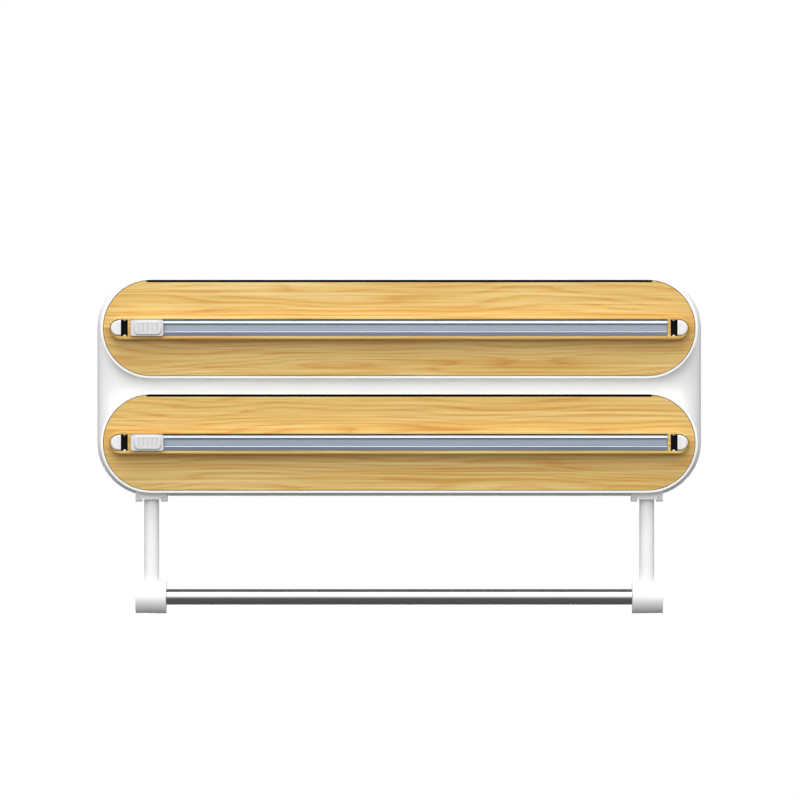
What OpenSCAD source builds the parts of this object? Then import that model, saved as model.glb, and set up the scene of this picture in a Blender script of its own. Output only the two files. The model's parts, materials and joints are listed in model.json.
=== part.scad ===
// Two-deck wall dispenser for foil and cling film, with slide cutters and a towel rail.
// Lengths are in mm. +Z is up, +X is right, the front faces -Y, and the wall face lies at y = 0.
// A depth is a distance from the wall face towards the front.

/* [Decks] */
// Straight length of a deck between the centres of its round ends
deck_spine = 316.4; // [306:0.2:326]
// Height of a wood front panel
panel_h = 60.6; // [59:0.1:63]
// Running gap round a drawer
drawer_gap = 0.35; // [0.3:0.05:0.6]
// Thickness of the rim round a panel
rim_t = 1.55; // [1.3:0.05:2]
// Rounding of the rims' outer front edge
rim_round = 0.3; // [0.2:0.1:0.8]
// Height of the saddle between the two rims
deck_gap = 8.6; // [7.8:0.1:12]
// Depth of the rims' front edges
rim_depth = 70; // [68:0.5:76]

/* [Housing] */
// How far the block stands out round the rims
block_margin = 2.1; // [1.6:0.1:3]
// How much further the block stands out at the rims' round ends
block_past = 0.8; // [0:0.1:2]
// How far the saddle between the decks lies behind the rims' front edges
saddle_back = 9; // [7:0.5:12]
// Rounding of the block's front edge
block_round = 16; // [10:0.5:20]
// Skin round the hollow behind the saddle
web_skin = 2; // [1.6:0.1:2.4]
// Thickness of the back plate
back_t = 3; // [2.6:0.1:3.2]
// Border of the block round the back plate
back_border = 2; // [1.6:0.1:2.4]
// Clearance round the back plate
back_gap = 0.15; // [0.1:0.05:0.3]
// Distance of the wall screw holes from the ends of the decks' straight length
wall_hole_inset = 18.2; // [14:0.2:40]
// Radius of the wall screw holes
wall_hole_r = 2.4; // [2.2:0.1:2.8]

/* [Drawers] */
// Thickness of a wood panel
panel_t = 1.8; // [1.5:0.1:2.2]
// Thickness of the plate behind a panel
plate_t = 3; // [2.6:0.1:3.4]
// Wall thickness of a tray
tray_t = 2; // [1.6:0.1:2.4]
// Height of a tray's rim above the deck's centre line
tray_top = 4; // [2:0.5:6]
// Gap between a tray and the back plate
tray_gap = 1; // [0.8:0.1:1.5]
// How far a film slot runs past each end of a deck's straight length
slot_past = 3; // [0:0.5:5]
// Height of the film slot
slot_h = 1.5; // [1.2:0.1:2]
// Gap that the film passes through
film_gap = 0.3; // [0.25:0.05:0.5]

/* [Roll spindles] */
// Depth of a spindle's axis
spindle_depth = 35; // [34:0.5:37]
// Radius of a spindle shaft
shaft_r = 4; // [3.5:0.1:4.5]
// Running clearance of a shaft in its saddles
shaft_fit = 0.05; // [0.03:0.01:0.08]
// Distance of a hub's flange from the end of a deck's straight length
hub_inset = 2.5; // [1.5:0.5:6]
// Radius of a hub's flange
flange_r = 17; // [16:0.5:20]
// Radius of a hub's plug at its flange
plug_r = 13.5; // [12:0.5:15]
// Length of a hub's plug
plug_len = 13; // [10:0.5:16]
// Thickness of a hub's flange and of a saddle rib
rib_t = 2.4; // [2:0.1:3]
// Gap between a hub's flange and its saddle rib
hub_gap = 0.5; // [0.3:0.1:0.8]
// How far a shaft runs past its saddle ribs
shaft_past = 2; // [1:0.1:2.4]
// Wall thickness of a shaft
shaft_t = 1; // [0.8:0.1:1.4]

/* [Cutters] */
// Distance from a cutter bar's round end to its panel's round end
bar_inset = 3.95; // [3:0.05:6]
// Height of a cutter bar
bar_h = 14.9; // [14.5:0.1:15.6]
// How far a cutter bar stands out from its panel
bar_out = 8; // [7.5:0.1:9]
// Rounding of a cutter bar's front edge
bar_round = 1.1; // [0.8:0.1:1.3]
// Floor left under a cutter bar's pockets
bar_floor = 1.6; // [1.4:0.1:2]
// Length of the wood bridge between a rail and a black guide
bridge_len = 2; // [1.6:0.1:6]
// Height of a cutter rail
rail_h = 10.5; // [10.3:0.1:10.8]
// How far a rail sits above its bar's middle
rail_up = 0.1; // [0:0.05:0.3]
// Clearance round a cutter rail
rail_gap = 0.1; // [0.05:0.05:0.15]
// How far a rail stands out from its bar
rail_out = 0.2; // [0.1:0.05:0.3]
// Thickness of the lips over a rail's slot
lip_t = 1; // [0.8:0.1:1.2]
// Gap between a bar and its rail's upper lip
lip_gap = 0.75; // [0.6:0.05:0.9]
// Depth of the gap over a rail's upper lip
lip_gap_deep = 2.6; // [2.2:0.1:2.8]
// How far a rail's upper lip slopes back
lip_bevel = 0.9; // [0.6:0.1:1]
// Height of the bevel under a rail's upper lip
lip_under = 0.6; // [0.4:0.05:0.8]
// Height of the bevel over a rail's lower lip
lip_over = 0.4; // [0.3:0.05:0.6]
// How far the bevels on a rail's lips slope back for each mm of their height
lip_lean = 0.77; // [0.6:0.01:0.9]
// How far a rail's lower lip slopes back to its bottom
lip_slope = 0.3; // [0.2:0.1:1]
// Height of a rail's slot mouth
mouth_h = 4.6; // [4.2:0.1:4.8]
// How far the slot runs under each lip
undercut = 1.1; // [0.9:0.1:1.3]
// Depth of a rail's slot under its lips
slot_under = 2; // [1.8:0.1:2.2]
// How far a rail's mouth sits above its bar's middle
mouth_up = 0; // [0:0.05:0.3]
// Length of a slider
slider_len = 20.7; // [18:0.1:24]
// Height of a slider
slider_h = 10.4; // [9.8:0.1:11]
// Thickness of a slider's cap
slider_t = 2.6; // [2.2:0.1:3]
// Rounding of a slider's corners
slider_corner = 1.2; // [0.8:0.1:2]
// Running gap of a slider
slide_gap = 0.3; // [0.25:0.05:0.4]
// Length of a slider's grip pad
pad_len = 17.3; // [15:0.1:18]
// Height of a slider's grip pad
pad_h = 8.7; // [8:0.1:9.4]
// Rounding of a grip pad's corners
pad_corner = 3; // [2:0.1:3.8]
// Thickness of a slider's grip pad
pad_t = 1.5; // [1.2:0.1:2]
// How far a grip pad sits off its slider's middle, away from the near end of the rail
pad_shift = 0.5; // [0.3:0.1:0.8]
// How far a grip pad is let into its slider
pad_sink = 0.5; // [0.4:0.1:0.8]
// Rounding of a grip pad's front edge
pad_round = 0.6; // [0.4:0.1:0.8]
// Distance between the grip grooves
ridge_pitch = 2.9; // [2.4:0.1:3.1]
// Width of a grip groove
groove_w = 0.6; // [0.4:0.1:0.8]
// Depth of a grip groove
groove_deep = 0.25; // [0.2:0.05:0.5]
// Border of a grip pad above and below its grooves
groove_border = 1.6; // [1.2:0.1:2]
// Length of the neck that joins a slider to its foot
neck_len = 10; // [8:0.5:12]
// Length of a slider's foot inside its rail
foot_len = 16; // [14:0.5:18]
// Thickness of a blade
blade_t = 0.5; // [0.4:0.05:0.6]
// Length of a blade's root in its slider
blade_len = 14; // [12:0.5:15]
// How much shorter a blade's edge is than its root, at each end
blade_rake = 1; // [0.5:0.1:1.5]
// How far a blade's root is let into its slider
blade_sink = 1; // [0.8:0.1:1.6]

/* [Latches] */
// Radius of a latch button's round end
button_r = 5; // [4.6:0.1:5.2]
// Length of a latch button
button_len = 6.7; // [6.4:0.1:7]
// Thickness of a latch button
button_t = 2.2; // [2:0.1:3]
// How far a latch button stands out from its bar
button_proud = 0.4; // [0.2:0.1:0.6]
// Rounding of a latch button's edge
button_round = 1.3; // [1:0.1:1.5]
// Length of the flat strip along a latch button's straight side
strip_len = 1.5; // [1.2:0.1:1.6]
// How far a latch button's round part lies behind its flat strip
strip_step = 0.3; // [0.2:0.05:0.4]
// Border of the bar outside a latch button
button_border = 0.7; // [0.6:0.05:0.9]
// Length of the black guide beside a latch button
guide_len = 4.4; // [4.2:0.1:4.8]
// Travel of a latch button
latch_travel = 3; // [2.4:0.1:3.2]
// Gap round a latch
latch_gap = 0.3; // [0.25:0.05:0.4]
// Thickness of a latch's stem
stem_t = 2.4; // [2:0.1:2.6]
// Distance of a latch's stem from its button's outer end
stem_inset = 0.9; // [0.7:0.1:1.2]
// Height of a latch's stem and nose
stem_h = 6; // [5:0.1:6.4]
// Thickness of a latch's nose
nose_t = 3; // [2.5:0.1:3.5]
// Distance of a latch's nose behind its drawer's plate
nose_drop = 4; // [3.5:0.1:5]
// Clear depth of the catch beyond a latch's nose
catch_deep = 0.7; // [0.5:0.1:1]
// Length of a latch spring
latch_spring_len = 8; // [7.6:0.1:8.4]
// Thickness of a latch spring's seat
seat_t = 2; // [1.6:0.1:2.4]
// Mean radius of a latch spring
latch_coil_r = 2.2; // [2:0.1:2.4]
// Wire radius of a latch spring
latch_wire_r = 0.3; // [0.25:0.05:0.35]
// Curls of a latch spring
latch_curls = 4; // [3:1:4]

/* [Towel rail] */
// How far the arms and the rod lie behind the rims' front edges
arm_back = 14; // [12:0.5:15]
// Radius of an arm's stem
arm_r = 4.75; // [4.4:0.05:5.2]
// Width of an arm socket
socket_w = 20.1; // [19:0.1:22]
// Length of an arm socket from front to back
socket_len = 18; // [16:0.5:22]
// How far a socket's front leans back from the rim down to its bottom
socket_lean = 1.6; // [0.8:0.1:2]
// Bevel on a socket's lower front edge
socket_edge = 1; // [0.6:0.1:1.4]
// How far a socket reaches below the lower rim
socket_drop = 5.6; // [4.8:0.1:6]
// Mouth width of a socket's dovetail
tail_w = 12.1; // [11.6:0.1:12.6]
// How far an arm's head sits up in its socket
tail_up = 1.4; // [1.1:0.1:1.5]
// Thickness of an arm's dovetail head
head_t = 2; // [1.8:0.1:2.2]
// Slack of an arm's head in its socket, from front to back
head_slack = 0.6; // [0.4:0.1:1.4]
// Running gap of an arm's head in its socket
head_fit = 0.05; // [0.03:0.01:0.08]
// Distance from the lower deck's centre line down to the rod
rod_drop = 98.8; // [94:0.2:120]
// Radius of the towel rod
rod_r = 5; // [4.6:0.05:5.4]
// Wall thickness of the towel rod
rod_t = 0.75; // [0.6:0.05:0.9]
// Length of an end block
block_len = 19.5; // [18:0.5:22]
// How far an end block's middle sits outside its arm
block_shift = 0.4; // [0.2:0.1:1]
// Radius of an end block at its inner end
block_end_r = 10.5; // [10:0.1:12]
// How much narrower an end block is at its outer end
block_taper = 0.3; // [0.2:0.05:0.5]
// Depth of an arm's seat in its end block
block_seat = 3.5; // [3:0.1:4]
// Radius of the rod's end pins
pin_r = 3; // [2.6:0.1:3.2]
// Length of the rod's end pins in the end blocks
pin_len = 6.5; // [5:0.1:7]
// Running clearance of the end pins and the plunger
pin_fit = 0.06; // [0.03:0.01:0.09]
// Gap between the rod and an end block
rod_gap = 0.3; // [0.25:0.05:0.5]
// Length of the plug and the plunger inside the rod
plug_in = 14; // [12:0.5:18]
// Length of the rod spring
rod_spring_len = 22; // [20:0.5:26]
// Thickness of the rod spring's stop
stop_t = 3; // [2:0.1:4]
// Clearance of the rod spring in the rod's bore
rod_coil_gap = 0.5; // [0.4:0.05:0.6]
// Wire radius of the rod spring
rod_wire_r = 0.4; // [0.35:0.05:0.45]
// Curls of the rod spring
rod_curls = 8; // [6:1:9]

/* [Screws] */
// Shank radius of the back plate screws
back_screw_r = 1.5; // [1.3:0.1:1.7]
// Shank length of the back plate screws
back_screw_len = 10; // [9:0.5:11]
// Distance of the outer back plate screws from the ends of the decks' straight length
back_screw_inset = 8; // [6:1:20]
// Depth of the screw heads' seats in the back plate
head_sink = 1.8; // [1.7:0.1:2]
// Clearance round the back plate screws
screw_gap = 0.2; // [0.1:0.05:0.3]
// Width of the posts that take the back plate screws
post_w = 8; // [7:0.5:10]
// Shank radius of the bar screws
bar_screw_r = 1.3; // [1.1:0.1:1.5]
// Distance of the outer bar screws from the ends of the decks' straight length
bar_screw_inset = 23; // [20:1:40]
// Wood left over a bar screw's hole
screw_cover = 0.6; // [0.5:0.05:0.7]
// Height of the screw heads
head_h = 1.5; // [1.3:0.1:1.6]
// Width and depth of the cross slots in the screw heads
drive_w = 0.6; // [0.5:0.05:0.7]
// How far a screw's hole runs past its end
hole_past = 1.2; // [1:0.1:1.5]

/* [Hidden] */
$fn = 72;

eps = 0.01;
half = deck_spine / 2;
panel_r = panel_h / 2;
cavity_r = panel_r + drawer_gap;
rim_r = cavity_r + rim_t;
block_r = rim_r + block_margin;
block_half = half + block_past;
deck_pitch = 2 * rim_r + deck_gap;
deck_z = deck_pitch / 2;
saddle_depth = rim_depth - saddle_back;
wall_hole_x = half - wall_hole_inset;

// Drawer depths, from back to front
tray_back = back_t + tray_gap;
plate_front = rim_depth - panel_t;
plate_back = plate_front - plate_t;
slot_z = cavity_r - slot_h;
slot_len = deck_spine + 2 * slot_past;

// Cutter depths, from back to front
bar_front = rim_depth + bar_out;
pocket_floor = rim_depth + bar_floor;
rail_back = pocket_floor;
rail_front = bar_front + rail_out;
lip_back = rail_front - lip_t;
slot_floor = lip_back - slot_under;
cap_back = rail_front + slide_gap;
cap_front = cap_back + slider_t;
pad_front = cap_front - pad_sink + pad_t;
mouth_top = mouth_up + mouth_h / 2;
mouth_bottom = mouth_up - mouth_h / 2;

// Latch places along X, from the inside out
bar_len = deck_spine + panel_h - 2 * bar_inset;
button_out = bar_len / 2 - button_border;
button_mid = button_out - button_r;
button_in = button_out - button_len;
guide_in = button_in - guide_len;
rail_len = 2 * (guide_in - bridge_len);
button_front = bar_front + button_proud;
roof_back = button_front - button_t;
stem_out = button_out - stem_inset;
stem_in = stem_out - stem_t;
nose_tip = half + sqrt(cavity_r * cavity_r - stem_h * stem_h / 4) - latch_gap;
nose_front = plate_back - nose_drop;
nose_back = nose_front - nose_t;
spring_seat = stem_in - latch_spring_len;

// Towel rail places; the arms hang under the ends of the decks' straight length
arm_x = half;
arm_depth = rim_depth - arm_back;
rod_z = -deck_z - rod_drop;
socket_rim = -deck_z - rim_r;
socket_z = socket_rim - socket_drop;
socket_top = -deck_z - rim_r / 2;
socket_front = arm_depth + socket_len / 2;
socket_back = arm_depth - socket_len / 2;
head_z = socket_z + tail_up;
end_in = arm_x + block_shift - block_len / 2;
rod_half = end_in - rod_gap;
rod_bore = rod_r - rod_t;
plunger_back = rod_half - plug_in;
rod_travel = pin_len + rod_gap;

// Spindle places along X
flange_in = half - hub_inset;
flange_out = flange_in + rib_t;
saddle_in = flange_out + hub_gap;
shaft_half = saddle_in + rib_t + shaft_past;

// Four screws in a row, the outer ones this far from the middle
function screw_row(out) = [-out, -out / 3, out / 3, out];
back_screw_xs = screw_row(half - back_screw_inset);
bar_screw_xs = screw_row(half - bar_screw_inset);

white = [0.96, 0.96, 0.95];
wood = [0.93, 0.75, 0.45];
steel = [0.75, 0.76, 0.78];
dark = [0.06, 0.06, 0.06];
grey = [0.86, 0.86, 0.86];

// Shared shapes

module box(x0, x1, d0, d1, z0, z1) {
    translate([x0, -d1, z0])
        cube([x1 - x0, d1 - d0, z1 - z0]);
}

module rod_y(r, d0, d1) {
    translate([0, -d0, 0])
        rotate([90, 0, 0])
            cylinder(r = r, h = d1 - d0);
}

module rod_x(r, x0, x1) {
    translate([x0, 0, 0])
        rotate([0, 90, 0])
            cylinder(r = r, h = x1 - x0);
}

// Flat plate with rounded corners, this far out from its middle along X and Z.
module plaque(x, z, r, d0, d1) {
    box(-x + r, x - r, d0, d1, -z, z);
    box(-x, x, d0, d1, -z + r, z - r);
    for (i = [-1, 1], k = [-1, 1])
        translate([i * (x - r), 0, k * (z - r)])
            rod_y(r, d0, d1);
}

module at_deck(d) {
    translate([0, 0, d * deck_z])
        children();
}

module on_side(s) {
    mirror([s < 0 ? 1 : 0, 0, 0])
        children();
}

// Half a cross-section: x runs out from the centre line, y is the depth.
module edge_profile(r, d0, d1, soft) {
    translate([0, d0])
        square([r, d1 - soft - d0]);
    translate([0, d1 - soft])
        square([r - soft, soft]);
    translate([r - soft, d1 - soft])
        intersection() {
            circle(soft);
            square(soft);
        }
}

// Carries a half cross-section straight along X for the given length.
module along_x(len) {
    rotate([0, -90, 180])
        linear_extrude(height = len, center = true)
            children();
}

// Carries a half cross-section right round a pill with this spine.
module pill_sweep(spine) {
    along_x(spine)
        children();
    mirror([0, 0, 1])
        along_x(spine)
            children();
    for (s = [-1, 1])
        translate([s * spine / 2, 0, 0])
            rotate([90, 0, 0])
                rotate([0, 0, -90 * s])
                    rotate_extrude(angle = 180)
                        children();
}

module pill(r, d0, d1, spine = deck_spine) {
    pill_sweep(spine)
        translate([0, d0])
            square([r, d1 - d0]);
}

// Carries a half cross-section round a rectangle that reaches x and z out from its middle.
module frame_sweep(x, z, d0, d1) {
    box(-x, x, d0, d1, -z, z);
    for (m = [0, 1]) {
        mirror([0, 0, m])
            translate([0, 0, z])
                along_x(2 * x)
                    children();
        mirror([m, 0, 0])
            translate([x, 0, 0])
                rotate([180, 0, 0])
                    linear_extrude(height = 2 * z, center = true)
                        children();
        for (n = [0, 1])
            mirror([m, 0, 0])
                mirror([0, 0, n])
                    translate([x, 0, z])
                        rotate([90, 0, 0])
                            rotate_extrude(angle = 90)
                                children();
    }
}

// Carries a half cross-section round the block that holds both decks.
module block_sweep(d0, d1) {
    frame_sweep(block_half, deck_z, d0, d1)
        children();
}

// Pan-head screw along Y, its head's flat at depth 0 and its shank towards the front.
module screw(r, len) {
    rod_y(r, 0, len);
    difference() {
        rod_y(2 * r, -head_h, 0);
        for (a = [0, 90])
            rotate([0, a, 0])
                box(-1.3 * r, 1.3 * r, -head_h - 1, -head_h + drive_w, -drive_w / 2, drive_w / 2);
    }
}

// Helical spring along X from x = 0, one unbroken tube, eight rings to a curl.
rings = 8;
sides = 6;

function coil_mid(i, len, r, w, curls) =
    let (t = i / (rings * curls), a = 360 * i / rings)
        [w + t * (len - 2 * w), r * cos(a), r * sin(a)];

function coil_ring(i, len, r, w, curls) =
    let (m = coil_mid(i, len, r, w, curls), a = 360 * i / rings)
        [for (k = [0 : sides - 1])
            let (b = 360 * k / sides)
                m + w * [cos(b), sin(b) * cos(a), sin(b) * sin(a)]];

function coil_gap(len, r, w, curls) =
    min([for (i = [0 : rings * curls], j = [0 : rings * curls])
        if (abs(i - j) >= rings - 2)
            norm(coil_mid(i, len, r, w, curls) - coil_mid(j, len, r, w, curls)) - 2 * w]);

module coil(len, r, w, curls) {
    last = rings * curls;
    points = [for (i = [0 : last]) each coil_ring(i, len, r, w, curls)];
    start = [for (k = [0 : sides - 1]) k];
    end = [for (k = [0 : sides - 1]) last * sides + sides - 1 - k];
    skin = [for (i = [0 : last - 1], k = [0 : sides - 1])
        [i * sides + k, (i + 1) * sides + k,
         (i + 1) * sides + (k + 1) % sides, i * sides + (k + 1) % sides]];
    polyhedron(points = points, faces = concat([start], [end], skin), convexity = 6);
    echo("least gap of a spring to itself, mm", coil_gap(len, r, w, curls));
}

// Housing

module envelope() {
    block_sweep(0, saddle_depth)
        edge_profile(block_r, 0, saddle_depth, block_round);
    for (d = [-1, 1])
        at_deck(d)
            pill_sweep(deck_spine)
                edge_profile(rim_r, back_t + 2, rim_depth, rim_round);
}

module housing() {
    color(white)
        difference() {
            envelope();
            for (d = [-1, 1])
                at_deck(d) {
                    pill(cavity_r, -1, rim_depth + 1);
                    for (s = [-1, 1])
                        on_side(s)
                            box(half, nose_tip + latch_gap + catch_deep, nose_back - latch_gap,
                                nose_front + latch_gap, -stem_h / 2 - latch_gap, stem_h / 2 + latch_gap);
                }
            block_sweep(-1, back_t)
                translate([0, -1])
                    square([block_r - back_border, back_t + 1]);
            difference() {
                box(-half, half, back_t - 1, saddle_depth - web_skin,
                    -deck_z + cavity_r + web_skin, deck_z - cavity_r - web_skin);
                for (x = back_screw_xs)
                    box(x - post_w / 2, x + post_w / 2, 0, saddle_depth, -deck_z, deck_z);
            }
            for (x = back_screw_xs)
                translate([x, 0, 0])
                    rod_y(back_screw_r, back_t - 1, head_sink + back_screw_len + hole_past);
        }
}

module back_plate() {
    color(white)
        difference() {
            block_sweep(0, back_t)
                square([block_r - back_border - back_gap, back_t]);
            for (x = back_screw_xs)
                translate([x, 0, 0]) {
                    rod_y(back_screw_r + screw_gap, -1, back_t + 1);
                    rod_y(2 * back_screw_r + screw_gap, -1, head_sink);
                }
            for (d = [-1, 1], s = [-1, 1])
                at_deck(d)
                    translate([s * wall_hole_x, 0, 0])
                        rod_y(wall_hole_r, -1, back_t + 1);
        }
}

module back_plate_screws() {
    color(steel)
        for (x = back_screw_xs)
            translate([x, -head_sink, 0])
                screw(back_screw_r, back_screw_len);
}

module slot_strip(d) {
    color(dark)
        at_deck(d)
            intersection() {
                box(-slot_len / 2 + 0.4, slot_len / 2 - 0.4, plate_back, plate_front,
                    slot_z + film_gap, cavity_r + 1);
                pill(cavity_r, plate_back - 1, rim_depth);
            }
}

// Drawers

module slot_cut() {
    box(-slot_len / 2, slot_len / 2, 0, rim_depth + 1, slot_z, cavity_r + 1);
}

module stem_slots(d0, d1) {
    for (s = [-1, 1])
        on_side(s)
            box(stem_in - latch_travel - latch_gap, stem_out + latch_gap, d0, d1,
                -stem_h / 2 - latch_gap, stem_h / 2 + latch_gap);
}

module bar_screw_holes(d0, d1) {
    for (x = bar_screw_xs)
        translate([x, 0, 0])
            rod_y(bar_screw_r, d0, d1);
}

module tray() {
    difference() {
        pill(panel_r, tray_back, plate_back + 1);
        pill(panel_r - tray_t, tray_back + tray_t, plate_back + 2);
        box(-half - rim_r, half + rim_r, 0, plate_back + 2, tray_top, rim_r);
        for (s = [-1, 1]) {
            on_side(s)
                box(stem_out, half + rim_r, nose_back - latch_gap, nose_front + latch_gap,
                    -stem_h / 2 - latch_gap, stem_h / 2 + latch_gap);
            translate([s * wall_hole_x, 0, 0])
                rod_y(2 * wall_hole_r, 0, tray_back + tray_t + 1);
        }
    }
}

module saddle_rib() {
    difference() {
        intersection() {
            box(saddle_in, saddle_in + rib_t, tray_back + 1, plate_back + 1, -rim_r, tray_top);
            pill(panel_r - tray_t / 2, tray_back, plate_back + 1);
        }
        translate([0, -spindle_depth, 0])
            rod_x(shaft_r + shaft_fit, 0, half + rim_r);
        box(0, half + rim_r, spindle_depth - shaft_r - shaft_fit,
            spindle_depth + shaft_r + shaft_fit, 0, rim_r);
    }
}

module drawer(d) {
    color(white)
        at_deck(d)
            difference() {
                union() {
                    pill(panel_r, plate_back, plate_front);
                    tray();
                    for (s = [-1, 1])
                        on_side(s) {
                            saddle_rib();
                            box(spring_seat - seat_t, spring_seat, nose_back, plate_back + 1,
                                -stem_h / 2, stem_h / 2);
                        }
                }
                slot_cut();
                stem_slots(plate_back - 0.5, plate_front + 1);
                bar_screw_holes(plate_back - 1, plate_front + 1);
            }
}

module wood_panel(d) {
    color(wood)
        at_deck(d)
            difference() {
                pill(panel_r, plate_front, rim_depth);
                slot_cut();
                stem_slots(plate_front - 1, rim_depth + 1);
                bar_screw_holes(plate_front - 1, rim_depth + 1);
            }
}

module cutter_bar(d) {
    color(wood)
        at_deck(d)
            difference() {
                pill_sweep(bar_len - bar_h)
                    edge_profile(bar_h / 2, rim_depth, bar_front, bar_round);
                box(-rail_len / 2 - rail_gap, rail_len / 2 + rail_gap, pocket_floor, bar_front + 1,
                    rail_up - rail_h / 2 - rail_gap, rail_up + rail_h / 2 + rail_gap);
                for (s = [-1, 1])
                    on_side(s) {
                        box(guide_in, button_mid, pocket_floor, bar_front + 1,
                            -button_r - latch_gap, button_r + latch_gap);
                        translate([button_mid, 0, 0])
                            rod_y(button_r + latch_gap, pocket_floor, bar_front + 1);
                    }
                stem_slots(rim_depth - 1, pocket_floor + 1);
                bar_screw_holes(rim_depth - 1, pocket_floor - screw_cover);
            }
}

module bar_screws(d) {
    color(steel)
        at_deck(d)
            for (x = bar_screw_xs)
                translate([x, -plate_back, 0])
                    screw(bar_screw_r, pocket_floor - screw_cover - 0.1 - plate_back);
}

module cutter_rail(d) {
    top = rail_up + rail_h / 2;
    bottom = rail_up - rail_h / 2;
    gap_back = rail_front - lip_gap_deep;
    color(steel)
        at_deck(d)
            rotate([0, -90, 180])
                linear_extrude(height = rail_len, center = true)
                    polygon([
                        [bottom, rail_back], [top, rail_back], [top, gap_back],
                        [top - lip_gap, gap_back + lip_gap], [top - lip_gap, rail_front - lip_bevel],
                        [mouth_top + lip_under, rail_front], [mouth_top, rail_front - lip_lean * lip_under],
                        [mouth_top, lip_back], [mouth_top + undercut, lip_back],
                        [mouth_top + undercut, slot_floor], [mouth_bottom - undercut, slot_floor],
                        [mouth_bottom - undercut, lip_back], [mouth_bottom, lip_back],
                        [mouth_bottom, rail_front - lip_lean * lip_over], [mouth_bottom - lip_over, rail_front],
                        [bottom, rail_front - lip_slope]
                    ]);
}

module latch_guides(d) {
    color(dark)
        at_deck(d)
            for (s = [-1, 1])
                on_side(s)
                    box(guide_in, stem_in - latch_travel - latch_gap, pocket_floor, roof_back - latch_gap,
                        -button_r - latch_gap, button_r + latch_gap);
}

module latch_spring(d, s) {
    color(steel)
        at_deck(d)
            on_side(s)
                translate([spring_seat, -(nose_front + nose_back) / 2, 0])
                    coil(stem_in - spring_seat - 0.05, latch_coil_r, latch_wire_r, latch_curls);
}

module latch(d, s) {
    color(white)
        at_deck(d)
            on_side(s) {
                for (m = [0, 1])
                    mirror([0, 0, m]) {
                        translate([button_in + strip_len / 2, 0, 0])
                            along_x(strip_len)
                                edge_profile(button_r, roof_back, button_front, button_round);
                        translate([(button_in + button_mid) / 2, 0, 0])
                            along_x(button_mid - button_in)
                                edge_profile(button_r, roof_back, button_front - strip_step, button_round);
                    }
                translate([button_mid, 0, 0])
                    rotate([90, 0, 0])
                        rotate([0, 0, -90])
                            rotate_extrude(angle = 180)
                                edge_profile(button_r, roof_back, button_front - strip_step, button_round);
                box(stem_in, stem_out, nose_back, roof_back + 1, -stem_h / 2, stem_h / 2);
                box(stem_in, nose_tip, nose_back, nose_front, -stem_h / 2, stem_h / 2);
            }
}

// Sliders, parked at the left end of their rails

slider_x = -rail_len / 2 + slider_len / 2;

module slider(d) {
    neck = mouth_h - 2 * slide_gap;
    foot = mouth_h + 2 * undercut - 2 * slide_gap;
    color(grey)
        at_deck(d)
            translate([slider_x, 0, 0])
                difference() {
                    union() {
                        plaque(slider_len / 2, slider_h / 2, slider_corner, cap_back, cap_front);
                        translate([0, 0, mouth_up]) {
                            box(-neck_len / 2, neck_len / 2, slot_floor + slide_gap,
                                cap_back + 1, -neck / 2, neck / 2);
                            box(-foot_len / 2, foot_len / 2, slot_floor + slide_gap,
                                lip_back - slide_gap, -foot / 2, foot / 2);
                        }
                    }
                    translate([pad_shift, 0, 0])
                        plaque(pad_len / 2, pad_h / 2, pad_corner, cap_front - pad_sink, cap_front + 1);
                    blade_blank();
                }
}

module blade_blank() {
    root = blade_len / 2;
    edge = root - blade_rake;
    translate([0, 0, mouth_up - blade_t / 2])
        linear_extrude(height = blade_t)
            polygon([
                [-edge, -lip_back + slide_gap], [edge, -lip_back + slide_gap],
                [root, -cap_back - blade_sink], [-root, -cap_back - blade_sink]
            ]);
}

module blade(d) {
    color(steel)
        at_deck(d)
            translate([slider_x, 0, 0])
                blade_blank();
}

module slider_pad(d) {
    color(white)
        at_deck(d)
            translate([slider_x + pad_shift, 0, 0])
                difference() {
                    frame_sweep(pad_len / 2 - pad_corner, pad_h / 2 - pad_corner, cap_front - pad_sink, pad_front)
                        edge_profile(pad_corner, cap_front - pad_sink, pad_front, pad_round);
                    for (i = [-2 : 2])
                        translate([i * ridge_pitch, 0, 0])
                            box(-groove_w / 2, groove_w / 2, pad_front - groove_deep, pad_front + 1,
                                -pad_h / 2 + groove_border, pad_h / 2 - groove_border);
                }
}

// Roll spindles

module spindle_shaft(d) {
    color(steel)
        at_deck(d)
            translate([0, -spindle_depth, 0])
                difference() {
                    rod_x(shaft_r, -shaft_half, shaft_half);
                    rod_x(shaft_r - shaft_t, -shaft_half - 1, shaft_half + 1);
                }
}

module spindle_hubs(d) {
    color(grey)
        at_deck(d)
            for (s = [-1, 1])
                translate([0, -spindle_depth, 0])
                    on_side(s)
                        rotate([0, 90, 0])
                            rotate_extrude()
                                polygon([
                                    [shaft_r, flange_in - plug_len], [plug_r - 1.5, flange_in - plug_len],
                                    [plug_r - 0.5, flange_in - plug_len + 1.5], [plug_r, flange_in],
                                    [flange_r, flange_in], [flange_r, flange_out], [shaft_r, flange_out]
                                ]);
}

// Towel rail

// Dovetail across X, carried from front to back; grow opens it all round.
module tail(z0, z1, len, grow) {
    w0 = tail_w / 2 + grow + (z0 - socket_z) * 0.3;
    w1 = tail_w / 2 + grow + (z1 - socket_z) * 0.3;
    translate([0, -arm_depth + len / 2, 0])
        rotate([90, 0, 0])
            linear_extrude(height = len)
                polygon([[-w0, z0], [w0, z0], [w1, z1], [-w1, z1]]);
}

module arm_socket(s) {
    color(white)
        difference() {
            translate([s * arm_x, 0, 0])
                along_x(socket_w)
                    polygon([
                        [socket_top, socket_back], [socket_top, socket_front], [socket_rim, socket_front],
                        [socket_z + socket_edge, socket_front - socket_lean],
                        [socket_z, socket_front - socket_lean - socket_edge], [socket_z, socket_back]
                    ]);
            envelope();
            translate([s * arm_x, 0, 0])
                tail(socket_z, head_z + head_t, socket_len + 2, 0);
        }
}

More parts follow.
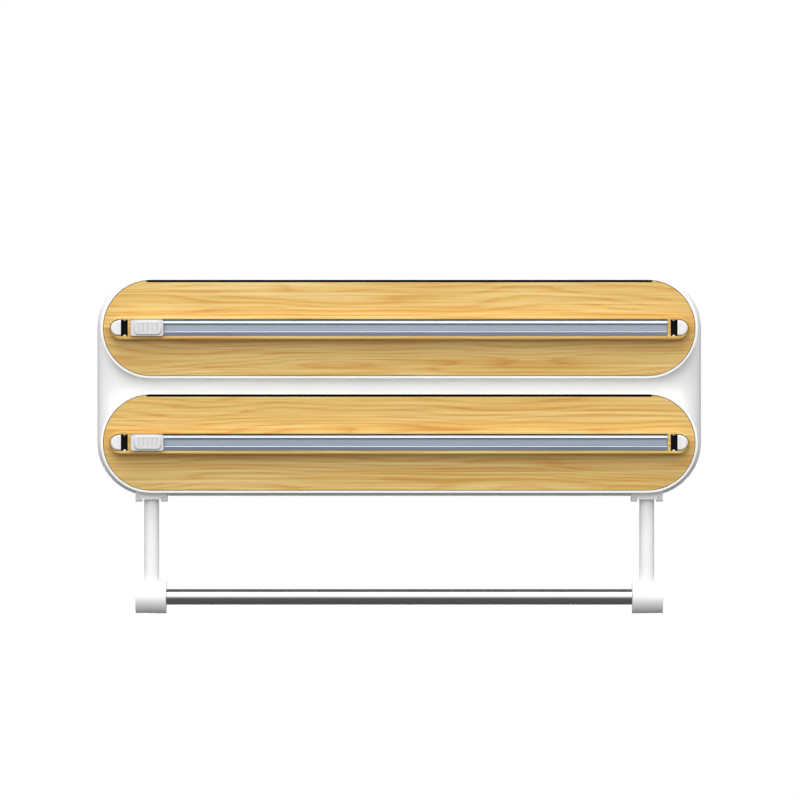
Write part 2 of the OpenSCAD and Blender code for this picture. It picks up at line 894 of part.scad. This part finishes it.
module arm(s) {
    color(white)
        translate([s * arm_x, 0, 0]) {
            tail(head_z, head_z + head_t, socket_len - head_slack, -head_fit);
            translate([0, -arm_depth, rod_z + block_end_r - block_seat])
                cylinder(r = arm_r, h = head_z - rod_z - block_end_r + block_seat + 0.5);
        }
}

module end_block(s) {
    color(white)
        on_side(s)
            translate([0, -arm_depth, rod_z])
                difference() {
                    translate([end_in, 0, 0])
                        rotate([0, 90, 0])
                            cylinder(r1 = block_end_r, r2 = block_end_r - block_taper, h = block_len);
                    rod_x(pin_r + pin_fit, end_in - 1, end_in + pin_len + 1);
                    translate([arm_x, 0, block_end_r - block_seat])
                        cylinder(r = arm_r, h = block_seat + 1);
                }
}

module on_rod() {
    translate([0, -arm_depth, rod_z])
        children();
}

module towel_rod() {
    color(steel)
        on_rod()
            difference() {
                rod_x(rod_r, -rod_half, rod_half);
                rod_x(rod_bore, -rod_half - 1, rod_half + 1);
            }
}

module rod_plug() {
    color(white)
        on_rod() {
            rod_x(rod_bore, -rod_half, -rod_half + plug_in);
            rod_x(pin_r, -end_in - pin_len, -rod_half + 1);
        }
}

module rod_plunger() {
    color(white)
        on_rod() {
            rod_x(rod_bore - pin_fit, plunger_back, rod_half);
            rod_x(pin_r, rod_half - 1, end_in + pin_len);
        }
}

module rod_spring_stop() {
    color(white)
        on_rod()
            rod_x(rod_bore, plunger_back - rod_spring_len - stop_t, plunger_back - rod_spring_len);
}

module rod_spring() {
    color(steel)
        on_rod()
            translate([plunger_back - rod_spring_len, 0, 0])
                coil(rod_spring_len - 0.05, rod_bore - rod_wire_r - rod_coil_gap, rod_wire_r, rod_curls);
}

housing();
back_plate();
back_plate_screws();
slot_strip(1);  // upper_slot_strip
slot_strip(-1);  // lower_slot_strip
arm_socket(-1);  // arm_socket_left
arm_socket(1);  // arm_socket_right
arm(-1);  // arm_left
arm(1);  // arm_right
end_block(-1);  // end_block_left
end_block(1);  // end_block_right
towel_rod();
rod_plug();
rod_spring_stop();
rod_spring();
rod_plunger();
drawer(1);  // upper_drawer
wood_panel(1);  // upper_wood_panel
cutter_bar(1);  // upper_cutter_bar
cutter_rail(1);  // upper_cutter_rail
bar_screws(1);  // upper_bar_screws
latch_guides(1);  // upper_latch_guides
latch_spring(1, -1);  // upper_latch_spring_left
latch_spring(1, 1);  // upper_latch_spring_right
slider(1);  // upper_slider
slider_pad(1);  // upper_slider_pad
blade(1);  // upper_blade
latch(1, -1);  // upper_latch_left
latch(1, 1);  // upper_latch_right
spindle_shaft(1);  // upper_spindle_shaft
spindle_hubs(1);  // upper_spindle_hubs
drawer(-1);  // lower_drawer
wood_panel(-1);  // lower_wood_panel
cutter_bar(-1);  // lower_cutter_bar
cutter_rail(-1);  // lower_cutter_rail
bar_screws(-1);  // lower_bar_screws
latch_guides(-1);  // lower_latch_guides
latch_spring(-1, -1);  // lower_latch_spring_left
latch_spring(-1, 1);  // lower_latch_spring_right
slider(-1);  // lower_slider
slider_pad(-1);  // lower_slider_pad
blade(-1);  // lower_blade
latch(-1, -1);  // lower_latch_left
latch(-1, 1);  // lower_latch_right
spindle_shaft(-1);  // lower_spindle_shaft
spindle_hubs(-1);  // lower_spindle_hubs
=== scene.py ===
"""Wall-hung foil and film dispenser: finishes, fine shapes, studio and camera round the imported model."""
import json
import math
import bmesh
import bpy
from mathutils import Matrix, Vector


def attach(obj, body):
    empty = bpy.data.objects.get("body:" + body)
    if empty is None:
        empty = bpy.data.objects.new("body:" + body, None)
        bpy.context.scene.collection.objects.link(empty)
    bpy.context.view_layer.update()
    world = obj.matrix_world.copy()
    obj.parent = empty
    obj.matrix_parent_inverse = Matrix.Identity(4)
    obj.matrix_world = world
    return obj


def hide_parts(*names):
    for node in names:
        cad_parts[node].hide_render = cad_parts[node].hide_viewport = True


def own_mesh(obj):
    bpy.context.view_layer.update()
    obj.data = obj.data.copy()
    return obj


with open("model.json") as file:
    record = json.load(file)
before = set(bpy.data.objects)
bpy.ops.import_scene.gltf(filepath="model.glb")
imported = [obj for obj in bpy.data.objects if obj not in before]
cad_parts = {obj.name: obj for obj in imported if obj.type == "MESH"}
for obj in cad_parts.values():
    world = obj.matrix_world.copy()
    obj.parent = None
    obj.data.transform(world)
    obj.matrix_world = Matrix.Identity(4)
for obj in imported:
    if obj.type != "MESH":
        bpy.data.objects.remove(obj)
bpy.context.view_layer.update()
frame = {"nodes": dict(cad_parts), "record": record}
NODES = frame["nodes"]
MM = 0.001
DECKS = ("upper", "lower")
DECK_Z = {"upper": 36.5 * MM, "lower": -36.5 * MM}
SIDE_X = {"left": -1, "right": 1}


# Materials. Texture space is the row frame in metres, so a pattern's scale is one over its size.

def linear(hex_colour):
    """Linear RGBA of an sRGB hex colour."""
    parts = [int(hex_colour[i:i + 2], 16) / 255 for i in (1, 3, 5)]
    return [c / 12.92 if c <= 0.04045 else ((c + 0.055) / 1.055) ** 2.4 for c in parts] + [1.0]


def add(owner, kind, links=None, stops=(), **settings):
    """A new node: settings are its own values, links its sockets' values or the sockets that feed them,
    and stops a colour ramp's positions and hex colours."""
    new = owner.node_tree.nodes.new("ShaderNode" + kind)
    for key, value in settings.items():
        setattr(new, key, value)
    for key, value in (links or {}).items():
        if isinstance(value, bpy.types.NodeSocket):
            owner.node_tree.links.new(value, new.inputs[key])
        else:
            new.inputs[key].default_value = value
    for _ in stops[2:]:
        new.color_ramp.elements.new(0.5)
    for i, (position, colour) in enumerate(stops):
        new.color_ramp.elements[i].position = position
        new.color_ramp.elements[i].color = linear(colour)
    return new


def blank(name):
    """An empty node material and its shader and place in space."""
    mat = bpy.data.materials.new(name)
    mat.use_nodes = True
    mat.node_tree.nodes.clear()
    place = add(mat, "TexCoord").outputs["Object"]
    shader = add(mat, "BsdfPrincipled")
    add(mat, "OutputMaterial", {"Surface": shader.outputs["BSDF"]})
    return mat, shader, place


def feed(mat, shader, **sockets):
    """Sets or links the shader's sockets; underscores stand for spaces."""
    for key, value in sockets.items():
        name = key.replace("_", " ")
        if isinstance(value, bpy.types.NodeSocket):
            mat.node_tree.links.new(value, shader.inputs[name])
        else:
            shader.inputs[name].default_value = value


FLOW_MM = 60
MOULDED_EDGE_MM = 0.35
MOULDED_GLOSS_SWING = 0.05
MOULDED_IOR = 1.53


def moulded(name, light, dark, grit_mm, roughness, depth_mm, shine=0.5):
    """Injection-moulded plastic: a fine spark-eroded grit, and slow shifts of tone from the flow."""
    mat, shader, place = blank(name)
    grit = add(mat, "TexNoise", {"Vector": place, "Scale": 1 / (grit_mm * MM), "Detail": 2.0})
    flow = add(mat, "TexNoise", {"Vector": place, "Scale": 1 / (FLOW_MM * MM), "Detail": 3.0})
    tone = add(mat, "ValToRGB", {"Fac": flow.outputs["Fac"]}, [(0.35, dark), (0.65, light)])
    gloss = add(mat, "MapRange", {"Value": grit.outputs["Fac"], "From Min": 0.3, "From Max": 0.7,
                                  "To Min": roughness - MOULDED_GLOSS_SWING,
                                  "To Max": roughness + MOULDED_GLOSS_SWING})
    edge = add(mat, "Bevel", {"Radius": MOULDED_EDGE_MM * MM}, samples=6)
    bump = add(mat, "Bump", {"Height": grit.outputs["Fac"], "Distance": depth_mm * MM, "Strength": 0.5,
                             "Normal": edge.outputs["Normal"]})
    feed(mat, shader, Base_Color=tone.outputs["Color"], Roughness=gloss.outputs["Result"],
         Normal=bump.outputs["Normal"], IOR=MOULDED_IOR, Specular_IOR_Level=shine)
    return mat


# Growth rings stand 4.2 mm apart; they sway by 8.5 rings along the panel and fray by half a ring.
RING_MM = 4.2
SWAY_RINGS = 8.5
FRAY_RINGS = 0.5
FILM_EDGE_MM = 0.15
PORE_DEPTH_MM = 0.03
FILM_IOR = 1.5


def laminate(name, shift):
    """Light wood print under a satin film, with its grain along X.

    It gives the eye golden and creamy bands, growth lines that close into arches, and a soft sheen.
    Fibres and pores are under 0.1 mm wide in the wood; they are drawn 0.5 to 0.9 mm wide, so that they show.
    """
    mat, shader, place = blank(name)
    move = add(mat, "Mapping", {"Vector": place, "Location": shift}).outputs["Vector"]

    def stretched(along_mm, across_mm, detail):
        """Noise drawn out along the grain."""
        grain = add(mat, "Mapping", {"Vector": move,
                                     "Scale": (1 / (along_mm * MM), 1.0, 1 / (across_mm * MM))})
        return add(mat, "TexNoise", {"Vector": grain.outputs["Vector"], "Scale": 1.0,
                                     "Detail": detail}).outputs["Fac"]

    sway, band, streak = stretched(160, 18, 1.0), stretched(260, 3.4, 2.0), stretched(150, 1.9, 2.0)
    fibre, pore = stretched(60, 0.9, 3.0), stretched(12, 0.5, 1.0)
    height = add(mat, "SeparateXYZ", {"Vector": move}).outputs["Z"]
    rings = add(mat, "Math", {0: height, 1: 1 / (RING_MM * MM)}, operation="MULTIPLY").outputs["Value"]
    swayed = add(mat, "Math", {0: sway, 1: SWAY_RINGS, 2: rings}, operation="MULTIPLY_ADD").outputs["Value"]
    frayed = add(mat, "Math", {0: fibre, 1: FRAY_RINGS, 2: swayed}, operation="MULTIPLY_ADD").outputs["Value"]
    year = add(mat, "Math", {0: frayed}, operation="FRACT").outputs["Value"]
    lines = add(mat, "ValToRGB", {"Fac": year}, [(0.0, "#DEBB6C"), (0.35, "#E1C478"), (0.68, "#DBB561"),
                                                 (0.86, "#D2A34C"), (1.0, "#DEBB6C")])
    golden = add(mat, "ValToRGB", {"Fac": band}, [(0.36, "#F6E6C6"), (0.58, "#FFFFFF")])
    threads = add(mat, "ValToRGB", {"Fac": fibre}, [(0.34, "#F0E2C4"), (0.60, "#FFFFFF")])
    specks = add(mat, "ValToRGB", {"Fac": pore}, [(0.30, "#E6D3AC"), (0.40, "#FFFFFF")])
    colour = lines.outputs["Color"]
    for layer, share in ((golden, 0.9), (threads, 0.8), (specks, 0.3)):
        colour = add(mat, "Mix", {0: share, 6: colour, 7: layer.outputs["Color"]},
                     data_type="RGBA", blend_type="MULTIPLY").outputs[2]
    pale = add(mat, "MapRange", {"Value": streak, "From Min": 0.5, "From Max": 0.72,
                                 "To Min": 0.0, "To Max": 0.7})
    colour = add(mat, "Mix", {0: pale.outputs["Result"], 6: colour, 7: linear("#EBD190")},
                 data_type="RGBA").outputs[2]
    gloss = add(mat, "MapRange", {"Value": fibre, "From Min": 0.3, "From Max": 0.7,
                                  "To Min": 0.38, "To Max": 0.5})
    edge = add(mat, "Bevel", {"Radius": FILM_EDGE_MM * MM}, samples=6)
    bump = add(mat, "Bump", {"Height": pore, "Distance": PORE_DEPTH_MM * MM, "Strength": 0.4,
                             "Normal": edge.outputs["Normal"]})
    feed(mat, shader, Base_Color=colour, Roughness=gloss.outputs["Result"], Normal=bump.outputs["Normal"],
         IOR=FILM_IOR)
    return mat


METAL_GLOSS_SWING = 0.06
FINEST_GLOSS = 0.03


def drawn_metal(name, light, dark, roughness, line_mm, run_mm, depth_mm):
    """Metal drawn, ground or polished along X: fine lines that run with it."""
    mat, shader, place = blank(name)
    along = add(mat, "Mapping", {"Vector": place,
                                 "Scale": (1 / (run_mm * MM), 1 / (line_mm * MM), 1 / (line_mm * MM))})
    lines = add(mat, "TexNoise", {"Vector": along.outputs["Vector"], "Scale": 1.0, "Detail": 3.0})
    tone = add(mat, "ValToRGB", {"Fac": lines.outputs["Fac"]}, [(0.3, dark), (0.7, light)])
    gloss = add(mat, "MapRange", {"Value": lines.outputs["Fac"], "From Min": 0.3, "From Max": 0.7,
                                  "To Min": max(roughness - METAL_GLOSS_SWING, FINEST_GLOSS),
                                  "To Max": roughness + METAL_GLOSS_SWING})
    bump = add(mat, "Bump", {"Height": lines.outputs["Fac"], "Distance": depth_mm * MM, "Strength": 0.4})
    feed(mat, shader, Base_Color=tone.outputs["Color"], Roughness=gloss.outputs["Result"],
         Normal=bump.outputs["Normal"], Metallic=1.0)
    return mat


# Plastics. Spark-eroded grit is about 0.1 mm; it is drawn 0.4 to 0.6 mm wide here, so that it shows.
# Housing, arms and blocks: a clean white whose edges catch a soft satin light.
WHITE_ABS = moulded("white_abs_moulded", "#FAFAF9", "#F7F7F6", grit_mm=0.5, roughness=0.42, depth_mm=0.02)
# Rod fittings: a creamier white, slick where it slides.
WHITE_ACETAL = moulded("white_acetal_moulded", "#F3F2EE", "#EBEAE6", grit_mm=0.4, roughness=0.38,
                       depth_mm=0.01)
# Sliders and hubs: a light matt grey that stands off from the white and the wood.
GREY_ABS = moulded("light_grey_abs_moulded", "#DBDBDC", "#D5D5D6", grit_mm=0.5, roughness=0.45,
                   depth_mm=0.02)
# Latch buttons: the housing's white painted a shade darker, a painted shade that stands in for the shading on
# the button's round, so that the round of the button reads.
SHADED_BUTTON_ABS = moulded("white_abs_button_painted_shade", "#EAEAE9", "#E5E5E4", grit_mm=0.5, roughness=0.4,
                     depth_mm=0.02)
# Guides: a dull black with almost no highlight.
BLACK_ACETAL = moulded("black_acetal_moulded", "#070707", "#040405", grit_mm=0.4, roughness=0.7,
                       depth_mm=0.01, shine=0.12)
# Slot lips: soft rubber that swallows light and reads as a thin black line.
BLACK_SILICONE = moulded("black_silicone_moulded", "#050506", "#030304", grit_mm=0.6, roughness=0.85,
                         depth_mm=0.02, shine=0.05)

# Wood fronts and cutter bars: each deck is cut from another part of the print, so that the grain differs.
UPPER_WOOD = laminate("light_wood_laminate_upper", shift=(0.02, 0.0, 0.011))
LOWER_WOOD = laminate("light_wood_laminate_lower", shift=(0.34, 0.0, 0.085))

# Metals. Drawing and grinding lines are under 0.05 mm wide; they are drawn 0.1 to 0.6 mm wide here, so that
# they show.
# Cutter rails: a bluish satin grey with bright lines along its upper edges.
RAIL_ALUMINIUM = drawn_metal("anodised_aluminium_drawn", "#9BA2AE", "#8C94A1", roughness=0.34,
                             line_mm=0.25, run_mm=90, depth_mm=0.0008)
# Spindle tubes: a paler bare grey with a long soft highlight.
TUBE_ALUMINIUM = drawn_metal("aluminium_tube_drawn", "#D5D7DB", "#C3C6CB", roughness=0.3,
                             line_mm=0.3, run_mm=50, depth_mm=0.004)
# Towel rod: near mirror, with a white band over a dark one along its whole length.
POLISHED_STEEL = drawn_metal("stainless_tube_polished", "#B4B4B6", "#AFB0B2", roughness=0.1,
                             line_mm=0.6, run_mm=120, depth_mm=0.0001)
# Springs: a grey wire with a small glint on each curl.
SPRING_STEEL = drawn_metal("spring_wire_drawn", "#A8ABB0", "#94979C", roughness=0.3,
                           line_mm=0.2, run_mm=6, depth_mm=0.003)
# Screws: a light grey plating with a dull shine.
ZINC_STEEL = drawn_metal("zinc_plated_steel", "#C8CACC", "#AFB2B6", roughness=0.32,
                         line_mm=0.4, run_mm=1.5, depth_mm=0.004)
# Blades: a bright strip with short grinding lines.
BLADE_STEEL = drawn_metal("blade_strip_ground", "#D4D6D9", "#BFC2C6", roughness=0.22,
                          line_mm=0.1, run_mm=3, depth_mm=0.002)

FINISH = {"white_abs": WHITE_ABS, "white_pom": WHITE_ACETAL, "black_pom": BLACK_ACETAL,
          "black_silicone": BLACK_SILICONE, "grey_abs": GREY_ABS, "aluminium": RAIL_ALUMINIUM,
          "spindle_tube": TUBE_ALUMINIUM, "polished_steel": POLISHED_STEEL, "spring_steel": SPRING_STEEL,
          "zinc_steel": ZINC_STEEL, "blade_steel": BLADE_STEEL}


def paint(obj, mat):
    """Gives an object one material."""
    obj.data.materials.clear()
    obj.data.materials.append(mat)


for part in frame["record"]["subparts"]:
    node, slot = part["node"], part["material_slot"]
    if slot == "wood_laminate":
        paint(NODES[node], UPPER_WOOD if node.startswith("upper") else LOWER_WOOD)
    elif slot == "white_abs" and "_latch_" in node:
        # Latch buttons take the darker copy of the white ABS, which is painted shade.
        paint(NODES[node], SHADED_BUTTON_ABS)
    else:
        paint(NODES[node], FINISH[slot])


# Fine shapes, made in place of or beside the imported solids.

CREASE_DEGREES = 35


def piece(name, verts, faces, mat, body, slot):
    """A smooth-shaded mesh piece that rides on a body; sharp edges keep their crease."""
    mesh = bpy.data.meshes.new(name)
    mesh.from_pydata(verts, [], faces)
    mesh.validate()
    obj = bpy.data.objects.new(name, mesh)
    bpy.context.scene.collection.objects.link(obj)
    skin = bmesh.new()
    skin.from_mesh(mesh)
    bmesh.ops.recalc_face_normals(skin, faces=skin.faces)
    for edge in skin.edges:
        edge.smooth = edge.is_manifold and edge.calc_face_angle() < math.radians(CREASE_DEGREES)
    for face in skin.faces:
        face.smooth = True
    skin.to_mesh(mesh)
    skin.free()
    paint(obj, mat)
    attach(obj, body)
    return obj


STEPS_PER_CURL = 36
WIRE_SIDES = 10
CLOSE_ENDS = 0.06


def wound_spring(name, start, end, middle, radius, wire, curls, body):
    """Round wire wound along X, with its end curls laid close."""
    steps, sides = STEPS_PER_CURL * curls, WIRE_SIDES
    rings = []
    for i in range(steps + 1):
        t = i / steps
        eased = t + CLOSE_ENDS * math.sin(4 * math.pi * t) / 2
        turn = 2 * math.pi * curls * t
        out = Vector((0, math.cos(turn), math.sin(turn)))
        centre = Vector((start + (end - start) * eased, middle[0], middle[1])) + out * radius
        rings.append([centre + wire * (math.cos(b) * Vector((1, 0, 0)) + math.sin(b) * out)
                      for b in (2 * math.pi * k / sides for k in range(sides))])
    verts = [v for ring in rings for v in ring]
    faces = [(i * sides + k, i * sides + (k + 1) % sides,
              (i + 1) * sides + (k + 1) % sides, (i + 1) * sides + k)
             for i in range(steps) for k in range(sides)]
    faces += [tuple(range(sides)), tuple(steps * sides + k for k in range(sides))]
    return piece(name, verts, faces, SPRING_STEEL, body, "spring_steel")


# A spring's start and end on X, its joint's travel, and its coil's mean radius, wire radius and curls.
ROD_SPRING = {"start": 112.55 * MM, "end": 134.5 * MM, "travel": 6.8 * MM,
              "radius": 3.35 * MM, "wire": 0.4 * MM, "curls": 8}
LATCH_SPRING = {"start": 172.55 * MM, "end": 180.5 * MM, "travel": 3.0 * MM,
                "radius": 2.2 * MM, "wire": 0.3 * MM, "curls": 4}
ROD_MIDDLE = (-56 * MM, -135.3 * MM)
LATCH_DEPTH = 59.7 * MM


rod_coil = wound_spring("rod_coil", ROD_SPRING["start"] + ROD_SPRING["wire"],
                        ROD_SPRING["end"] - ROD_SPRING["wire"], ROD_MIDDLE,
                        ROD_SPRING["radius"], ROD_SPRING["wire"], ROD_SPRING["curls"], "towel_rod")
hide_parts("rod_spring")
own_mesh(rod_coil)
for deck in DECKS:
    for side, sign in SIDE_X.items():
        latch_coil = wound_spring(f"{deck}_latch_coil_{side}",
                                  sign * (LATCH_SPRING["start"] + LATCH_SPRING["wire"]),
                                  sign * (LATCH_SPRING["end"] - LATCH_SPRING["wire"]),
                                  (-LATCH_DEPTH, DECK_Z[deck]), LATCH_SPRING["radius"],
                                  LATCH_SPRING["wire"], LATCH_SPRING["curls"], f"{deck}_drawer")
        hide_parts(f"{deck}_latch_spring_{side}")
        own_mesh(latch_coil)

# Black guide: a barrel-fronted block with a half-round notch at its top and bottom, and a white post in each.
GUIDE = {"inner": 172.75 * MM, "outer": 177.25 * MM, "middle": 174.8 * MM, "half": 5.3 * MM,
         "back": 71.6 * MM, "front": 75.5 * MM, "barrel": 0.6 * MM, "notch": 1.0 * MM}
BARREL_STEPS = 14
NOTCH_STEPS = 12
POST = {"radius": 0.93 * MM, "front": 75.9 * MM, "softened": 0.2 * MM}


def guide_block(sign, z):
    """Vertices and faces of one guide, as columns along X."""
    xs = [GUIDE["inner"], GUIDE["outer"]]
    xs += [GUIDE["inner"] + (GUIDE["outer"] - GUIDE["inner"]) * i / BARREL_STEPS
           for i in range(1, BARREL_STEPS)]
    xs += [GUIDE["middle"] + GUIDE["notch"] * math.cos(math.pi * i / NOTCH_STEPS)
           for i in range(NOTCH_STEPS + 1)]
    xs = sorted(set(round(x, 7) for x in xs))
    centre, reach = (xs[0] + xs[-1]) / 2, (xs[-1] - xs[0]) / 2
    verts = []
    for x in xs:
        bite = max(GUIDE["notch"] ** 2 - (x - GUIDE["middle"]) ** 2, 0) ** 0.5
        top = GUIDE["half"] - bite
        front = GUIDE["front"] - GUIDE["barrel"] * ((x - centre) / reach) ** 4
        verts += [(sign * x, -d, z + h) for d, h in
                  ((GUIDE["back"], -top), (front, -top), (front, top), (GUIDE["back"], top))]
    faces = [(4 * i + a, 4 * i + b, 4 * i + 4 + b, 4 * i + 4 + a)
             for i in range(len(xs) - 1) for a, b in ((0, 1), (1, 2), (2, 3), (3, 0))]
    last = 4 * (len(xs) - 1)
    return verts, faces + [(0, 1, 2, 3), (last, last + 1, last + 2, last + 3)]


def guide_post(sign, z, up):
    """Vertices and faces of one half-round post with a softened front edge."""
    verts, faces = [], []
    for d, r in ((GUIDE["back"], POST["radius"]), (POST["front"] - POST["softened"], POST["radius"]),
                 (POST["front"], POST["radius"] - POST["softened"])):
        for i in range(NOTCH_STEPS + 1):
            a = math.pi * i / NOTCH_STEPS
            verts.append((sign * (GUIDE["middle"] + r * math.cos(a)), -d,
                          z + up * (GUIDE["half"] - r * math.sin(a))))
    n = NOTCH_STEPS + 1
    for row in range(2):
        faces += [(row * n + i, row * n + (i + 1) % n, row * n + n + (i + 1) % n, row * n + n + i)
                  for i in range(n)]
    return verts, faces + [tuple(range(n)), tuple(2 * n + i for i in range(n))]


def gather(parts):
    """Several vertex and face lists as one."""
    verts, faces = [], []
    for more, rest in parts:
        faces += [tuple(k + len(verts) for k in face) for face in rest]
        verts += more
    return verts, faces


for deck in DECKS:
    blocks = gather([guide_block(sign, DECK_Z[deck]) for sign in SIDE_X.values()])
    guides = piece(f"{deck}_barrel_guides", *blocks, BLACK_ACETAL, f"{deck}_drawer", "black_pom")
    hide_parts(f"{deck}_latch_guides")
    posts = gather([guide_post(sign, DECK_Z[deck], up) for sign in SIDE_X.values() for up in (-1, 1)])
    piece(f"{deck}_guide_posts", *posts, WHITE_ABS, f"{deck}_drawer", "white_abs")


# Studio: the part hangs 1.1 m above a pale floor, which turns white far off, where it meets the white world.
# Dark cards below and behind the part, unseen by the camera, shade its underside and the rod's dark lines.

def sheet(name, corners, mat):
    """A flat stage sheet, whose corners run anticlockwise round its face."""
    mesh = bpy.data.meshes.new(name)
    mesh.from_pydata(corners, [], [(0, 1, 2, 3)])
    obj = bpy.data.objects.new(name, mesh)
    bpy.context.scene.collection.objects.link(obj)
    paint(obj, mat)
    return obj


def level_square(half, z):
    """Corners of a level square sheet that faces up."""
    return [(-half, -half, z), (half, -half, z), (half, half, z), (-half, half, z)]


def stage_paint(name, light, dark):
    """Matt wall paint: an even tone with a slow mottle about 0.3 m wide, and no highlight."""
    mat, shader, place = blank(name)
    mottle = add(mat, "TexNoise", {"Vector": place, "Scale": 3.0, "Detail": 4.0})
    tone = add(mat, "ValToRGB", {"Fac": mottle.outputs["Fac"]}, [(0.3, dark), (0.7, light)])
    feed(mat, shader, Roughness=0.8, Base_Color=tone.outputs["Color"])
    return mat


def mix_in(mat, share, closure):
    """Mixes a second closure into a paint by share."""
    shader, out = mat.node_tree.nodes["Principled BSDF"], mat.node_tree.nodes["Material Output"]
    both = add(mat, "MixShader", {0: share, 1: shader.outputs["BSDF"], 2: closure})
    mat.node_tree.links.new(both.outputs["Shader"], out.inputs["Surface"])
    return mat


def one_sided(mat):
    """Lets light through a sheet's back, so that it shades only what its face looks at."""
    clear = add(mat, "BsdfTransparent").outputs["BSDF"]
    return mix_in(mat, add(mat, "NewGeometry").outputs["Backfacing"], clear)


def backdrop_rays(owner):
    """1 for the rays that show the backdrop: the camera's, and those through glass or off a gloss."""
    rays = add(owner, "LightPath")
    seen = add(owner, "Math", {0: rays.outputs["Is Camera Ray"], 1: rays.outputs["Is Glossy Ray"]},
               operation="MAXIMUM")
    return add(owner, "Math", {0: seen.outputs["Value"], 1: rays.outputs["Is Transmission Ray"]},
               operation="MAXIMUM").outputs["Value"]


def fade_to_white(mat, near, far):
    """Lets a floor's look turn to the white backdrop between two distances from the part."""
    place = add(mat, "TexCoord").outputs["Object"]
    reach = add(mat, "VectorMath", {0: place}, operation="LENGTH").outputs["Value"]
    fade = add(mat, "MapRange", {"Value": reach, "From Min": near, "From Max": far},
               interpolation_type="SMOOTHSTEP")
    share = add(mat, "Math", {0: backdrop_rays(mat), 1: fade.outputs["Result"]}, operation="MULTIPLY")
    return mix_in(mat, share.outputs["Value"], add(mat, "Emission", {"Strength": 1.0}).outputs["Emission"])


FLOOR_HALF, FLOOR_Z = 14.0, -1.1
CARD_HALF, CARD_BELOW_Z = 1.8, -0.7
CARD_BEHIND_Y, CARD_BEHIND_FOOT, CARD_BEHIND_HEAD = 1.2, -0.3, 1.6
FLOOR_PAINT = fade_to_white(stage_paint("pale_floor_paint", "#D2D2D2", "#CDCDCD"), near=5.0, far=12.0)
CARD_PAINT = one_sided(stage_paint("dark_card_paint", "#646464", "#5E5E5E"))
sheet("floor", level_square(FLOOR_HALF, FLOOR_Z), FLOOR_PAINT)
upright = [(x, CARD_BEHIND_Y, z) for x, z in ((-CARD_HALF, CARD_BEHIND_FOOT), (CARD_HALF, CARD_BEHIND_FOOT),
                                              (CARD_HALF, CARD_BEHIND_HEAD), (-CARD_HALF, CARD_BEHIND_HEAD))]
for card in (sheet("card_below", level_square(CARD_HALF, CARD_BELOW_Z), CARD_PAINT),
             sheet("card_behind", upright, CARD_PAINT)):
    card.visible_camera = False
    card.visible_shadow = False

# The camera and every gloss see the world as white; it lights the part most from above and in front.
BRIGHT_SIDE = (0.0, -0.6, 0.8)
AMBIENT_LEAST, AMBIENT_MOST = 0.12, 0.94
WHITE = (1.0, 1.0, 1.0, 1.0)
world = bpy.data.worlds.new("studio")
bpy.context.scene.world = world
world.use_nodes = True
world.node_tree.nodes.clear()
heading = add(world, "TexCoord").outputs["Generated"]
toward_light = add(world, "VectorMath", {0: heading, 1: BRIGHT_SIDE}, operation="DOT_PRODUCT")
level = add(world, "MapRange", {"Value": toward_light.outputs["Value"], "From Min": -0.15, "From Max": 0.8,
                                "To Min": AMBIENT_LEAST, "To Max": AMBIENT_MOST},
            interpolation_type="SMOOTHSTEP")
ambient = add(world, "Background", {"Color": WHITE, "Strength": level.outputs["Result"]})
backdrop = add(world, "Background", {"Color": WHITE, "Strength": 1.0})
pick = add(world, "MixShader", {0: backdrop_rays(world), 1: ambient.outputs["Background"],
                                2: backdrop.outputs["Background"]})
add(world, "OutputWorld", {"Surface": pick.outputs["Shader"]})


def softbox(name, place, aim, width, height, watts):
    """A rectangular lamp at a place, turned to what it aims at."""
    lamp = bpy.data.lights.new(name, "AREA")
    lamp.shape = "RECTANGLE"
    lamp.size, lamp.size_y, lamp.energy = width, height, watts
    obj = bpy.data.objects.new(name, lamp)
    obj.location = place
    obj.rotation_euler = (Vector(aim) - Vector(place)).to_track_quat("-Z", "Y").to_euler()
    bpy.context.scene.collection.objects.link(obj)


softbox("overhead_softbox", (-0.15, -0.64, 1.5), (0, -0.05, 0), width=2.0, height=0.6, watts=14.0)
softbox("high_softbox", (-0.4, -1.8, 1.8), (0, 0, 0), width=2.2, height=1.2, watts=12.5)
softbox("front_softbox", (-0.3, -2.8, 0.95), (0, 0, 0), width=2.4, height=1.4, watts=17.5)
softbox("back_softbox", (0, 2.6, -0.1), (0, 0, 0), width=2.4, height=1.4, watts=40)


# Camera: straight on, from far off; the 800 px frame covers 509.9 mm at the wood fronts.

FRAME_SIZE = 0.5099
FRAME_MIDDLE_X, FRAME_MIDDLE_Z = 0.0005, -0.0094
FRONT_Y = -0.070
CAMERA_AWAY = 5.0
SENSOR_MM = 36.0
lens = bpy.data.cameras.new("camera")
lens.sensor_width = SENSOR_MM
lens.lens = SENSOR_MM * CAMERA_AWAY / FRAME_SIZE
lens.clip_end = 50.0
camera = bpy.data.objects.new("camera", lens)
camera.location = (FRAME_MIDDLE_X, FRONT_Y - CAMERA_AWAY, FRAME_MIDDLE_Z)
camera.rotation_euler = (math.pi / 2, 0, 0)
bpy.context.scene.collection.objects.link(camera)
bpy.context.scene.camera = camera
bpy.context.scene.view_settings.view_transform = "Standard"
